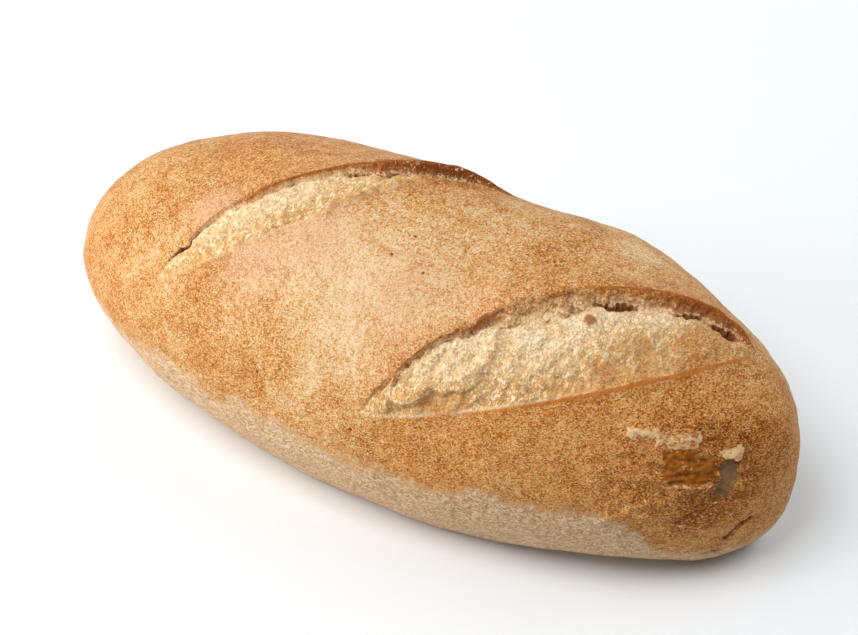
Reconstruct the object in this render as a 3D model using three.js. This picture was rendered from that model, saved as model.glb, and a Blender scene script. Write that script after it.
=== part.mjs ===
// Whole wheat bread loaf, uncut: an oval hearth loaf with two slanting cuts that opened as it baked.
// Each cut shows a band of torn crumb between a raised, craggy lip on its far side and a thin raised
// edge on its near side. At the near end the crust has blistered and a piece of it has peeled away.
// Millimetres, +Z up. The loaf lies along X, near end at +X, and stands on its flat bottom at Z = 0.

import * as THREE from "three";
import { ImprovedNoise } from "three/addons/math/ImprovedNoise.js";
import { mergeVertices } from "three/addons/utils/BufferGeometryUtils.js";

const { clamp, lerp, smoothstep, degToRad } = THREE.MathUtils;

// Body: the belly is the widest line, and the flanks tuck in under it towards the base
const LENGTH = 280;
const WIDTH = 133.5;
const CROWN_HEIGHT = 89;
const BELLY_HEIGHT = 33.5;
const TUCK_DEPTH = 61;
const BASE_EDGE_SOFTNESS = 4;
const NEAR_END_OFFSET = 1.7;

// Roundness of the body's curves, as powers: 2 is an ellipse, a higher power is squarer
const FAR_END = { plan: 2.22, ridge: 2.05 };
const NEAR_END = { plan: 1.96, ridge: 2.79 };
const DOME_POWER = 1.94;
const FLANK_POWER = 1.7;

// Soft swellings and hollows of the crust: place along X, angle up from the far side, reach and rise
const SWELLS = [
  { x: 10, angle: 44, reach: 26, rise: -2.2 },
  { x: -40, angle: 48, reach: 22, rise: -1.6 },
  { x: 62, angle: 40, reach: 24, rise: 1.5 },
  { x: 108, angle: 40, reach: 26, rise: -0.7 },
  { x: 15, angle: 205, reach: 50, rise: 1.2 },
  { x: 121, angle: 222, reach: 13, rise: 1 },
];

// The bottom lifts off the table a little under the near end
const BASE_LIFT = { x: 98, y: -36, reach: 42, rise: 4.5 };

// Cuts: tips in plan, then how far the lip and the near edge bow from the line between the tips, and how
// each bow leans to the first or the second tip; the lip's height, and the width of the torn face under it
const CUTS = [
  {
    tips: [new THREE.Vector2(-80, -49), new THREE.Vector2(13, 40)],
    lip: { bow: 8, lean: [0.75, 0.8], height: 3.6 },
    edge: { bow: 11.7, lean: [0.8, 1.6] },
    face: 2.5,
  },
  {
    tips: [new THREE.Vector2(13, -62), new THREE.Vector2(117, 15)],
    lip: { bow: 13.5, lean: [1.1, 0.7], height: 4.4 },
    edge: { bow: 18.8, lean: [0.7, 0.51] },
    face: 3.4,
  },
];

// Across a cut: the crust rises to the lip, drops down a torn face into a crack, and the crumb bulges.
// A slope's pairs are shares of its reach and of its rise
const LIP_REACH = 24;
const LIP_SLOPE = [
  [1, 0],
  [0.55, 0.16],
  [0.25, 0.58],
  [0.08, 0.9],
];
const LIP_OVERHANG = 0.8;
const FACE_SHOULDER = 0.6;
const FACE_FOOT = -0.15;
const CRACK_DEPTH = 2;
const CRACK_UNDERCUT = 1.6;
const CRACK_WIDTH = 2.2;
const CRUMB_BULGE = 1.5;
const CRUMB_SLOPE = [
  [0, 0.1],
  [0.45, 1],
  [0.94, 0.15],
];
const EDGE_RIDGE = 0.6;
const EDGE_REACH = 3;
const FULL_WIDTH = 14;
const TIP_TAPER = 2.6;
const EVEN_LEAN = [0.5, 0.5];

// Raggedness of the lips and the crumb
const LIP_RAGGEDNESS = 1.1;
const CRUMB_RAGGEDNESS = 0.7;
const CRAG_LENGTH = 8;

// Peeled patch on the near end: its middle, the hole in the crust and the blistered crust round it
const PEEL = { x: 127, angle: 151 };
const HOLE = { halfWidth: 3.4, halfHeight: 7, depth: 1.6, slant: 0.35, rim: [0.85, 1.15] };
const BLISTER = { reach: 30, fullReach: 15, rise: 0.8, size: 7, plateEdge: [-0.05, 0.1] };

// Unevenness of the whole crust
const CRUST_WAVE = 26;
const CRUST_RISE = 0.7;

// Triangle sizes: over the body, beside the cuts, in them, along their lips and on the peeled patch
const BODY_SIZE = 12;
const LIP_SLOPE_SIZE = 9;
const CUT_SIZE = 5;
const LIP_SIZE = 2.4;
const PEEL_SIZE = 2.8;
const PEEL_SIZE_REACH = 22;
const START_DETAIL = 8;
const SPLIT_ROUNDS = 7;

const CRUST_COLOUR = 0xc98d4f;
const CRUST_ROUGHNESS = 0.7;

const noise = new ImprovedNoise();
const LIP_LAYER = 0.5;
const CRUMB_LAYER = 7.5;
const BLISTER_LAYER = 3.5;

const UP = new THREE.Vector3(0, 0, 1);
const TINY = 1e-6;

function signedPower(value, power) {
  return Math.sign(value) * Math.abs(value) ** power;
}

// A place on the smooth body is along, from -1 to 1 over the length, and turn, the angle round the section
// from the far side over the top.
function sectionAt(along) {
  const near = smoothstep(along, -1, 1);
  const plan = lerp(FAR_END.plan, NEAR_END.plan, near);
  const ridge = lerp(FAR_END.ridge, NEAR_END.ridge, near);
  const reach = Math.min(Math.abs(along), 1);
  return {
    middle: NEAR_END_OFFSET * along,
    halfWidth: (WIDTH / 2) * (1 - reach ** plan) ** (1 / plan),
    heightShare: (1 - reach ** ridge) ** (1 / ridge),
  };
}

// Flattens what would lie below the base and softens the edge where the flank meets it.
function settle(x, y, z) {
  const away = Math.hypot(x - BASE_LIFT.x, y - BASE_LIFT.y) / BASE_LIFT.reach;
  const floor = BASE_LIFT.rise * (1 - smoothstep(away, 0, 1));
  const above = z - floor;
  if (above <= -BASE_EDGE_SOFTNESS) return floor;
  if (above >= BASE_EDGE_SOFTNESS) return z;
  return floor + (above + BASE_EDGE_SOFTNESS) ** 2 / (4 * BASE_EDGE_SOFTNESS);
}

function bodyPoint(along, turn) {
  const section = sectionAt(along);
  const side = Math.cos(turn);
  const rise = Math.sin(turn);
  const power = 2 / (rise >= 0 ? DOME_POWER : FLANK_POWER);
  const half = rise >= 0 ? CROWN_HEIGHT - BELLY_HEIGHT : -TUCK_DEPTH;
  const x = (LENGTH / 2) * along;
  const y = section.middle + section.halfWidth * signedPower(side, power);
  const z = BELLY_HEIGHT + half * section.heightShare * Math.abs(rise) ** power;
  return new THREE.Vector3(x, y, settle(x, y, z));
}

// The outward normal of the smooth body, from neighbouring points on it.
function bodyNormal(along, turn) {
  const step = 1e-3;
  const ahead = bodyPoint(clamp(along + step, -1, 1), turn);
  const behind = bodyPoint(clamp(along - step, -1, 1), turn);
  const round = bodyPoint(along, turn + step).sub(bodyPoint(along, turn - step));
  const normal = round.cross(ahead.sub(behind));
  if (normal.length() < TINY) return new THREE.Vector3(Math.sign(along), 0, 0);
  return normal.normalize();
}

// The turn of the point of the upper body that lies over a place in plan.
function turnOver(along, y) {
  const section = sectionAt(along);
  const share = clamp((y - section.middle) / Math.max(section.halfWidth, TINY), -1, 1);
  return Math.acos(signedPower(share, DOME_POWER / 2));
}

function alongOf(direction) {
  return clamp(direction.x, -1, 1);
}

function turnOf(direction) {
  return Math.atan2(direction.z, direction.y);
}

function smoothPoint(direction) {
  return bodyPoint(alongOf(direction), turnOf(direction));
}

// A bow over 0 to 1 with a height of 1, its peak leaning to one end or the other.
function bowShape(share, [first, second]) {
  const s = clamp(share, 0, 1);
  const peak = first / (first + second);
  const top = peak ** first * (1 - peak) ** second;
  return (s ** first * (1 - s) ** second) / top;
}

// A place in plan as a cut sees it: its share of the cut's length, its distance from the lip, positive on
// the far side, and the width of the cut there.
function inCut(cut, x, y) {
  const line = cut.tips[1].clone().sub(cut.tips[0]);
  const length = line.length();
  const along = line.divideScalar(length);
  const from = new THREE.Vector2(x, y).sub(cut.tips[0]);
  const share = from.dot(along) / length;
  const lip = cut.lip.bow * bowShape(share, cut.lip.lean);
  const edge = -cut.edge.bow * bowShape(share, cut.edge.lean);
  const inside = share > 0 && share < 1;
  return { inside, share, along, fromLip: along.cross(from) - lip, width: lip - edge };
}

// Sideways shift and rise of the surface across a cut, at stations measured from the lip.
function cutStations(cut, width, narrow, strength) {
  const lip = cut.lip.height * strength;
  const overhang = LIP_OVERHANG * strength;
  const bulge = CRUMB_BULGE * narrow;
  const faceFoot = -cut.face * narrow;
  const crackFoot = faceFoot - (CRACK_WIDTH / 2) * narrow;
  const crumbStart = crackFoot - CRACK_WIDTH * narrow;
  return [
    ...LIP_SLOPE.map(([reach, height]) => ({ at: reach * LIP_REACH, shift: 0, rise: height * lip })),
    { at: 0, shift: -overhang, rise: lip },
    { at: faceFoot / 3, shift: -overhang, rise: FACE_SHOULDER * lip },
    { at: faceFoot, shift: overhang / 2, rise: FACE_FOOT * lip },
    { at: crackFoot, shift: CRACK_UNDERCUT * strength, rise: -CRACK_DEPTH * strength },
    ...CRUMB_SLOPE.map(([share, height]) => ({
      at: lerp(crumbStart, -width, share),
      shift: 0,
      rise: height * bulge,
    })),
    { at: -width, shift: 0, rise: EDGE_RIDGE * narrow },
    { at: -width - EDGE_REACH, shift: 0, rise: 0 },
  ];
}

// Shift and rise at a distance from the lip, on straight lines between the stations.
function betweenStations(stations, at) {
  const after = stations.findIndex((station) => station.at <= at);
  if (after <= 0) return { shift: 0, rise: 0 };
  const low = stations[after];
  const high = stations[after - 1];
  const share = (at - low.at) / Math.max(high.at - low.at, TINY);
  return { shift: lerp(low.shift, high.shift, share), rise: lerp(low.rise, high.rise, share) };
}

// How a cut moves the surface at a place in plan: a shift in plan and a rise along the normal.
function cutRelief(cut, x, y) {
  const place = inCut(cut, x, y);
  if (!place.inside) return { shift: new THREE.Vector2(), rise: 0 };
  const narrow = Math.min(1, place.width / FULL_WIDTH);
  const strength = Math.min(1, TIP_TAPER * narrow * bowShape(place.share, EVEN_LEAN));
  const crag = LIP_RAGGEDNESS * strength * noise.noise(x / CRAG_LENGTH, y / CRAG_LENGTH, LIP_LAYER);
  const lump = CRUMB_RAGGEDNESS * strength * noise.noise(x / CRAG_LENGTH, y / CRAG_LENGTH, CRUMB_LAYER);
  const stations = cutStations(cut, place.width, narrow, strength);
  const relief = betweenStations(stations, place.fromLip + crag);
  const inCrumb = place.fromLip < 0 && place.fromLip > -place.width;
  const across = new THREE.Vector2(-place.along.y, place.along.x);
  return { shift: across.multiplyScalar(relief.shift), rise: relief.rise + (inCrumb ? lump : 0) };
}

// The frame of the peeled patch: its middle on the body, and the level and upward directions there.
const peelAlong = (2 * PEEL.x) / LENGTH;
const peelMiddle = bodyPoint(peelAlong, degToRad(PEEL.angle));
const peelOut = bodyNormal(peelAlong, degToRad(PEEL.angle));
const peelLevel = UP.clone().cross(peelOut).normalize();
const peelUpward = peelOut.clone().cross(peelLevel);

// Rise on the peeled patch: plates of blistered crust, with the hole where one has come away.
function peelRelief(point) {
  const from = point.clone().sub(peelMiddle);
  const level = from.dot(peelLevel);
  const upward = from.dot(peelUpward);
  const away = from.length();
  if (away >= BLISTER.reach) return 0;
  const wave = noise.noise(level / BLISTER.size, upward / BLISTER.size, BLISTER_LAYER);
  const fade = 1 - smoothstep(away, BLISTER.fullReach, BLISTER.reach);
  const plates = BLISTER.rise * fade * smoothstep(wave, ...BLISTER.plateEdge);
  const inHole = Math.hypot((level - HOLE.slant * upward) / HOLE.halfWidth, upward / HOLE.halfHeight);
  return lerp(-HOLE.depth, plates, smoothstep(inHole, ...HOLE.rim));
}

function swellRelief(point) {
  let rise = 0;
  for (const swell of SWELLS) {
    const middle = bodyPoint((2 * swell.x) / LENGTH, degToRad(swell.angle));
    rise += swell.rise * Math.exp(-point.distanceToSquared(middle) / swell.reach ** 2);
  }
  return rise;
}

function crustWave(point) {
  return CRUST_RISE * noise.noise(point.x / CRUST_WAVE, point.y / CRUST_WAVE, point.z / CRUST_WAVE);
}

// The point of the finished crust for a direction from the loaf's middle.
function crustPoint(direction) {
  let along = alongOf(direction);
  let turn = turnOf(direction);
  let cutRise = 0;
  const smooth = bodyPoint(along, turn);
  if (smooth.z > BELLY_HEIGHT) {
    const reliefs = CUTS.map((cut) => cutRelief(cut, smooth.x, smooth.y));
    const shift = reliefs.reduce((sum, relief) => sum.add(relief.shift), new THREE.Vector2());
    cutRise = reliefs.reduce((sum, relief) => sum + relief.rise, 0);
    if (shift.length() > TINY) {
      along = clamp((2 * (smooth.x + shift.x)) / LENGTH, -1, 1);
      turn = turnOver(along, smooth.y + shift.y);
    }
  }
  const point = bodyPoint(along, turn);
  const clearOfBase = smoothstep(point.z, 0, BASE_EDGE_SOFTNESS);
  const softRise = clearOfBase * (crustWave(point) + swellRelief(point) + peelRelief(point));
  return point.addScaledVector(bodyNormal(along, turn), cutRise + softRise);
}

// The triangle size asked for at a place on the smooth body.
function sizeAt(point) {
  let size = point.distanceTo(peelMiddle) < PEEL_SIZE_REACH ? PEEL_SIZE : BODY_SIZE;
  if (point.z <= BELLY_HEIGHT) return size;
  for (const cut of CUTS) {
    const { inside, fromLip, width } = inCut(cut, point.x, point.y);
    if (!inside) continue;
    const crackEnd = Math.min(width, cut.face + 3 * CRACK_WIDTH);
    if (fromLip < LIP_REACH && fromLip > -width - LIP_REACH) size = Math.min(size, LIP_SLOPE_SIZE);
    if (fromLip < 2 * EDGE_REACH && fromLip > -width - EDGE_REACH) size = Math.min(size, CUT_SIZE);
    if (fromLip < EDGE_REACH && fromLip > -crackEnd) size = Math.min(size, LIP_SIZE);
  }
  return size;
}

// One triangle cut at the edges that have a middle, into two, three or four.
function splitFace(face, middleOf, places) {
  const middles = face.map((corner, i) => middleOf(corner, face[(i + 1) % 3]));
  const isCut = (middle) => middle !== null;
  const count = middles.filter(isCut).length;
  if (count === 0) return [face];
  const first = count === 1 ? middles.findIndex(isCut) : (middles.indexOf(null) + 1) % 3;
  const [a, b, c] = [0, 1, 2].map((k) => face[(first + k) % 3]);
  const [ab, bc, ca] = [0, 1, 2].map((k) => middles[(first + k) % 3]);
  if (count === 1) return [[a, ab, c], [ab, b, c]];
  if (count === 3) return [[a, ab, ca], [ab, b, bc], [ca, bc, c], [ab, bc, ca]];
  if (places[a].distanceTo(places[bc]) < places[ab].distanceTo(places[c])) {
    return [[ab, b, bc], [a, ab, bc], [a, bc, c]];
  }
  return [[ab, b, bc], [a, ab, c], [ab, bc, c]];
}

// Splits every edge that is longer than the size asked for at its middle, and repeats that on the result.
function refine(directions, faces) {
  const places = directions.map(smoothPoint);
  let list = faces;
  for (let round = 0; round < SPLIT_ROUNDS; round += 1) {
    const middles = new Map();
    const middleOf = (a, b) => {
      const key = a < b ? `${a} ${b}` : `${b} ${a}`;
      if (middles.has(key)) return middles.get(key);
      const direction = directions[a].clone().add(directions[b]).normalize();
      const place = smoothPoint(direction);
      const long = places[a].distanceTo(places[b]) > sizeAt(place);
      middles.set(key, long ? directions.length : null);
      if (long) {
        directions.push(direction);
        places.push(place);
      }
      return middles.get(key);
    };
    list = list.flatMap((face) => splitFace(face, middleOf, places));
  }
  return list;
}

// A ball of triangles, refined where the crust has detail, with each corner carried out to the crust.
function loafGeometry() {
  const start = new THREE.IcosahedronGeometry(1, START_DETAIL);
  start.deleteAttribute("normal");
  start.deleteAttribute("uv");
  const ball = mergeVertices(start);
  const corners = ball.getAttribute("position");
  const directions = [];
  for (let i = 0; i < corners.count; i += 1) {
    directions.push(new THREE.Vector3().fromBufferAttribute(corners, i).normalize());
  }
  const faces = [];
  for (let i = 0; i < ball.index.count; i += 3) {
    faces.push([0, 1, 2].map((k) => ball.index.getX(i + k)));
  }
  const split = refine(directions, faces);
  const points = directions.map(crustPoint);
  const middle = new THREE.Box3().setFromPoints(points).getCenter(new THREE.Vector3());
  const geometry = new THREE.BufferGeometry().setFromPoints(points).setIndex(split.flat());
  geometry.translate(-middle.x, -middle.y, 0);
  geometry.computeVertexNormals();
  return geometry;
}

const crust = new THREE.MeshStandardMaterial({
  color: CRUST_COLOUR,
  roughness: CRUST_ROUGHNESS,
  metalness: 0,
});
const loaf = new THREE.Mesh(loafGeometry(), crust);
loaf.name = "loaf";

const wholeWheatLoaf = new THREE.Group();
wholeWheatLoaf.add(loaf);

export default wholeWheatLoaf;
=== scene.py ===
"""Whole wheat bread loaf, uncut, with two torn cuts and a peeled blister at its near end.

Metres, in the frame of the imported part: +X along the loaf to its near end, +Z up from its flat bottom.
"""

import math
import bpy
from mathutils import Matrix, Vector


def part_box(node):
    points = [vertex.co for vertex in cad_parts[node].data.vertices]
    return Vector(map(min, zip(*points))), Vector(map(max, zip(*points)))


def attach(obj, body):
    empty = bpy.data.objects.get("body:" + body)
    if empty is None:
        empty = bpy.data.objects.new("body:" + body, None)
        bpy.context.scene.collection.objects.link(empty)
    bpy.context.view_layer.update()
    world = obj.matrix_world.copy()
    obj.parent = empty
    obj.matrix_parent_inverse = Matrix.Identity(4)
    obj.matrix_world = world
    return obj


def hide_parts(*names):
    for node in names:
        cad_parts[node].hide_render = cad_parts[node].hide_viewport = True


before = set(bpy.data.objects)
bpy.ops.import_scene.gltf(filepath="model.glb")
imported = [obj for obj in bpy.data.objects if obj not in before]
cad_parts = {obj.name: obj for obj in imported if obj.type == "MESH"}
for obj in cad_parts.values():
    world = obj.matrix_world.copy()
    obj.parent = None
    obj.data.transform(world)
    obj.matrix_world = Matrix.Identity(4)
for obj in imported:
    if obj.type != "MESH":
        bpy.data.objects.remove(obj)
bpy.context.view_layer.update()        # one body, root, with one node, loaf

from types import SimpleNamespace

import bmesh
import bpy
import numpy as np
from bpy.props import FloatProperty, FloatVectorProperty, IntProperty, PointerProperty
from mathutils import Matrix, Vector, noise

bl_info = {
    "name": "Whole Wheat Loaf",
    "version": (1, 0, 0),
    "blender": (4, 5, 0),
    "location": "3D View > Sidebar > Loaf",
    "description": "Bakes an oval whole wheat loaf with torn cuts and sets the table it lies on",
    "category": "Add Mesh",
}

MM = 0.001
TINY = 1e-9

# Roundness of the body's curves, as powers: 2 is an ellipse, a higher power is squarer
FAR_END = SimpleNamespace(plan=2.22, ridge=2.05)
NEAR_END = SimpleNamespace(plan=1.96, ridge=2.79)
DOME_POWER = 1.94
FLANK_POWER = 1.7

# Soft swellings and hollows of the crust, as place along X, angle up from the far side, reach and rise
SWELLS = (
    (0.012, 44, 0.024, -0.0034),
    (-0.040, 48, 0.022, -0.0016),
    (0.062, 40, 0.024, 0.0015),
    (0.108, 40, 0.026, -0.0007),
    (0.015, 205, 0.050, 0.0012),
    (0.121, 222, 0.013, 0.0010),
)

# The bottom lifts off the table a little under the near end
BASE_LIFT = SimpleNamespace(x=0.092, y=-0.038, reach=0.056, rise=0.0072)

# Cuts: tips in plan, how far the lip and the near edge bow from the line between the tips, and how each bow
# leans to the first or the second tip; then shares of the lip's overhang, of the crack's width and of how
# sharply the crumb ends at the near edge. Along the run, as pairs of share and value: the lip's share of its
# full height, the width of the torn face under it, how far the crack gapes, how browned the crest is, how
# much of the torn face is charred, and how browned the near edge and how toasted the crumb are
CUTS = (
    SimpleNamespace(
        tips=((-0.080, -0.049), (0.013, 0.040)),
        lip=SimpleNamespace(bow=0.0092, lean=(0.75, 0.8)),
        edge=SimpleNamespace(bow=0.0117, lean=(0.8, 1.6)),
        overhang=0.1,
        crack=0.5,
        fade=0.3,
        rise=(
            (0, 0), (0.1, 0.06), (0.17, 0.14), (0.24, 0.28), (0.34, 0.45), (0.5, 0.58), (0.62, 0.78),
            (0.72, 1.05), (0.84, 1.1), (0.93, 0.55), (1, 0),
        ),
        face=(
            (0, 0.0003), (0.15, 0.0004), (0.24, 0.0008), (0.34, 0.0012), (0.5, 0.0014), (0.7, 0.0020),
            (0.86, 0.0024), (1, 0.0004),
        ),
        gape=(
            (0, 2), (0.04, 1.3), (0.1, 0.8), (0.16, 0.5), (0.2, 0.3), (0.3, 0.4), (0.33, 0.7), (0.36, 0.3),
            (0.39, 0.7), (0.42, 0.3), (0.5, 0.4), (0.56, 0.8), (0.62, 0.5), (0.68, 0.8), (0.74, 0.5),
            (0.85, 0.5), (1, 0),
        ),
        crest=((0, 0.2), (0.17, 0.4), (0.3, 0.8), (0.5, 1.1), (0.65, 1.5), (0.85, 2), (1, 1.5)),
        char=((0, 0), (0.5, 0.1), (0.58, 0.5), (0.66, 1.2), (0.8, 1.5), (1, 1.4)),
        crust_edge=((0, 0.1), (0.1, 0.3), (0.4, 0.15), (0.5, 0), (1, 0)),
        toast=(
            (0, 0.25), (0.14, 0.2), (0.26, 0.05), (0.42, 0.15), (0.5, 0.5), (0.7, 0.6), (0.78, 0.9), (1, 1),
        ),
    ),
    SimpleNamespace(
        tips=((0.013, -0.062), (0.117, 0.015)),
        lip=SimpleNamespace(bow=0.0135, lean=(1.1, 0.7)),
        edge=SimpleNamespace(bow=0.0181, lean=(0.83, 0.62)),
        overhang=0.3,
        crack=0.9,
        fade=1.0,
        rise=((0, 0), (0.1, 0.4), (0.19, 0.6), (0.28, 0.5), (0.36, 1), (0.9, 1), (0.96, 0.6), (1, 0)),
        face=(
            (0, 0.0004), (0.15, 0.0008), (0.2, 0.0016), (0.28, 0.001), (0.33, 0.0022), (0.37, 0.0058),
            (0.43, 0.0048), (0.55, 0.0032), (0.63, 0.0024), (0.75, 0.0046), (0.84, 0.003), (0.95, 0.0015),
            (1, 0.0004),
        ),
        gape=(
            (0, 0.3), (0.15, 0.4), (0.3, 0.5), (0.36, 0.4), (0.42, 0.25), (0.5, 0.3), (0.54, 0.7),
            (0.58, 0.4), (0.62, 0.9), (0.69, 0.9), (0.72, 0.3), (0.79, 0.2), (0.82, 1), (0.86, 1),
            (0.88, 0.3), (0.9, 1), (0.95, 1), (0.97, 0.3), (1, 0),
        ),
        crest=(
            (0, 0.2), (0.1, 0.5), (0.3, 0.5), (0.38, 0.25), (0.46, 0.3), (0.65, 0.9), (0.9, 1.2), (1, 0.6),
        ),
        char=(
            (0, 0), (0.2, 0.3), (0.26, 0.7), (0.33, 0.8), (0.38, 0.2), (0.48, 0.1), (0.55, 0.1), (0.64, 0.2),
            (0.72, 0.4), (0.82, 0.9), (1, 1.2),
        ),
        crust_edge=((0, 0.1), (0.25, 0.22), (0.45, 0.75), (0.6, 1), (0.9, 1), (1, 0.6)),
        toast=((0, 0.2), (0.15, 0.05), (0.5, 0.15), (0.85, 0.45), (1, 0.8)),
    ),
)
ALONG_CUT = ("rise", "face", "gape", "crest", "char", "crust_edge", "toast")

# A slope's pairs are shares of its reach and of its rise
LIP_SLOPE = ((1, 0), (0.55, 0.16), (0.25, 0.58), (0.08, 0.9))
CRUMB_SLOPE = ((0, 0.1), (0.45, 1), (0.94, 0.15))
FACE_SLOPE = ((0, 1), (0.18, 0.93), (0.42, 0.68), (0.75, 0.2), (1, -0.15))
TIP_TAPER = 2.6
EVEN_LEAN = (0.5, 0.5)

# Reaches of what lies along a cut: the ragged tear, the rolled top of the torn face as a share of it, the
# browned crest and the soft brow round it, the charred and the fringed foot of the face, the near edge and
# its soft shade; then how fibres and crumb begin, and how much longer strands are across the cut
TORN_REACH = 0.0022
ROLL = 0.5
CREST_REACH = 0.0006
BROW = SimpleNamespace(share=0.3, reach=0.0035, drop=0.0012)
CHAR_REACH = 0.002
FRINGE_REACH = 0.0007
EDGE_REACH = 0.0005
EDGE_SOFT = SimpleNamespace(share=0.26, reach=0.0022)
FIBRE_LIFT = 0.4
FIBRE_SOFT = 0.0012
CRUMB_SOFT = 0.0015
STRAND_STRETCH = 1.2

# Marks that are depths, in millimetres, and how far below 0 they are outside the cuts
DEPTH_MARKS = ("crumb", "torn")
FAR_MM = 30.0

# In the second cut, the far lobe of crumb stands above the rest, with a tear along its lower part that is
# painted dark as the shadow under the lobe, and a browned lump hangs under the lip
LOBE = (
    (0.020, -0.0600), (0.030, -0.0560), (0.0379, -0.0523), (0.0439, -0.0493), (0.0495, -0.0457),
    (0.0494, -0.0419), (0.0500, -0.0360), (0.0460, -0.0290), (0.0300, -0.0420), (0.0180, -0.0590),
)
LOBE_SWAY = SimpleNamespace(reach=0.0016, size=0.004, layers=(1.5, 7.5))
LOBE_RISE = 0.0013
# Reach and span of the painted shadow along the tear
TEAR_REACH = 0.0006
TEAR_SPAN = (0.040, 0.048)
LUMP = SimpleNamespace(x=0.0712, y=-0.0151, reach=0.0025, rise=0.0018)

# Peeled patch on the near end: its middle, then outlines and lines on it in level and upward metres
PEEL = SimpleNamespace(x=0.127, angle=151, middle=(-0.015, -0.005), reach=(0.034, 0.030), fade=(0.4, 1.2))
PEEL_SWAYS = (
    SimpleNamespace(reach=0.0013, size=0.0036, layers=(3.5, 8.5)),
    SimpleNamespace(reach=0.0006, size=0.0013, layers=(3.5, 8.5)),
)
HOLE = (
    (-0.0018, 0.0055), (0.0014, 0.0051), (0.0043, 0.0043), (0.0036, 0.0008), (0.0036, -0.0033),
    (0.0016, -0.0062), (0.0004, -0.0093), (-0.0025, -0.0080), (-0.0056, -0.0068), (-0.0046, -0.0040),
    (-0.0020, -0.0018), (-0.0012, 0.0005),
)
HOLE_DEPTH = 0.0022
HOLE_FLOOR = ((0.0003, 0.002, 1.5),)
HOLE_SHADE = SimpleNamespace(inset=0.0002, reach=0.0009, span=(0.001, 0.005))
GLAZES = (
    SimpleNamespace(share=1.0, outline=(
        (-0.0201, 0.0107), (-0.0158, 0.0116), (-0.0115, 0.0108), (-0.0082, 0.0089), (-0.0017, 0.0065),
        (-0.0014, 0.0019), (-0.0054, -0.0016), (-0.0113, -0.0015), (-0.0192, -0.0005), (-0.0206, 0.0046),
    )),
    SimpleNamespace(share=0.38, outline=(
        (-0.0291, 0.0160), (-0.0222, 0.0148), (-0.0212, 0.0113), (-0.0212, 0.0067), (-0.0233, 0.0032),
        (-0.0289, 0.0052), (-0.0334, 0.0075), (-0.0332, 0.0135),
    )),
)
GLAZE_DEPTH = 0.0005
FLAKES = (
    SimpleNamespace(share=0.6, outline=(
        (-0.0223, 0.0138), (-0.0181, 0.0125), (-0.0139, 0.0114), (-0.0092, 0.0105), (-0.0072, 0.0134),
        (-0.0082, 0.0171), (-0.0132, 0.0195), (-0.0184, 0.0188),
    )),
    SimpleNamespace(share=0.85, outline=(
        (-0.0007, 0.0122), (0.0041, 0.0122), (0.0060, 0.0085), (0.0047, 0.0048), (0.0009, 0.0055),
        (-0.0015, 0.0078),
    )),
    SimpleNamespace(share=1.0, outline=(
        (-0.0300, 0.0200), (-0.0246, 0.0192), (-0.0198, 0.0195), (-0.0212, 0.0152), (-0.0250, 0.0162),
        (-0.0292, 0.0172),
    )),
)
FLAKE_RISE = 0.0006
FLAKE_LIP = 0.0004
FLAKE_FADE = 0.45
LOWER_FLAKES = ((-0.0192, -0.0005), (-0.0138, -0.0017), (-0.0057, -0.0024))
LOWER_REACH = 0.0006
PLATES = ((2.6, 0.007, 3.5), (1.56, 0.0026, 6.5))
PLATE_STRETCH = (0.8, 0.8, 1.5)
PLATE_RISE = 0.0003
PLATE_EDGE = 0.10
CRINKLE = SimpleNamespace(size=0.0045, rise=0.00028, layer=2.5)
WRINKLE = SimpleNamespace(size=0.0016, rise=0.00045, layer=4.5)
FOLD = ((-0.0404, -0.0135), (-0.0358, -0.0109), (-0.0307, -0.0079), (-0.0255, -0.0063), (-0.0216, -0.0073))
FOLD_RISE = 0.0009
FOLD_REACH = 0.0014
CREVICES = (
    ((0.0097, -0.0200), (0.0064, -0.0225), (0.0035, -0.0251), (0.0022, -0.0282)),
    ((-0.0045, -0.0340), (0.0027, -0.0350)),
)
CREVICE_DEPTH = 0.0016
CREVICE_REACH = 0.0011
SCORCHES = (
    (-0.0475, 0.0004), (-0.0264, -0.0021), (-0.0354, -0.0011), (-0.0133, -0.0163), (-0.0036, -0.0148),
    (-0.0080, -0.0110),
)
SCORCH = SimpleNamespace(bake=0.2, reach=0.005)

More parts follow.
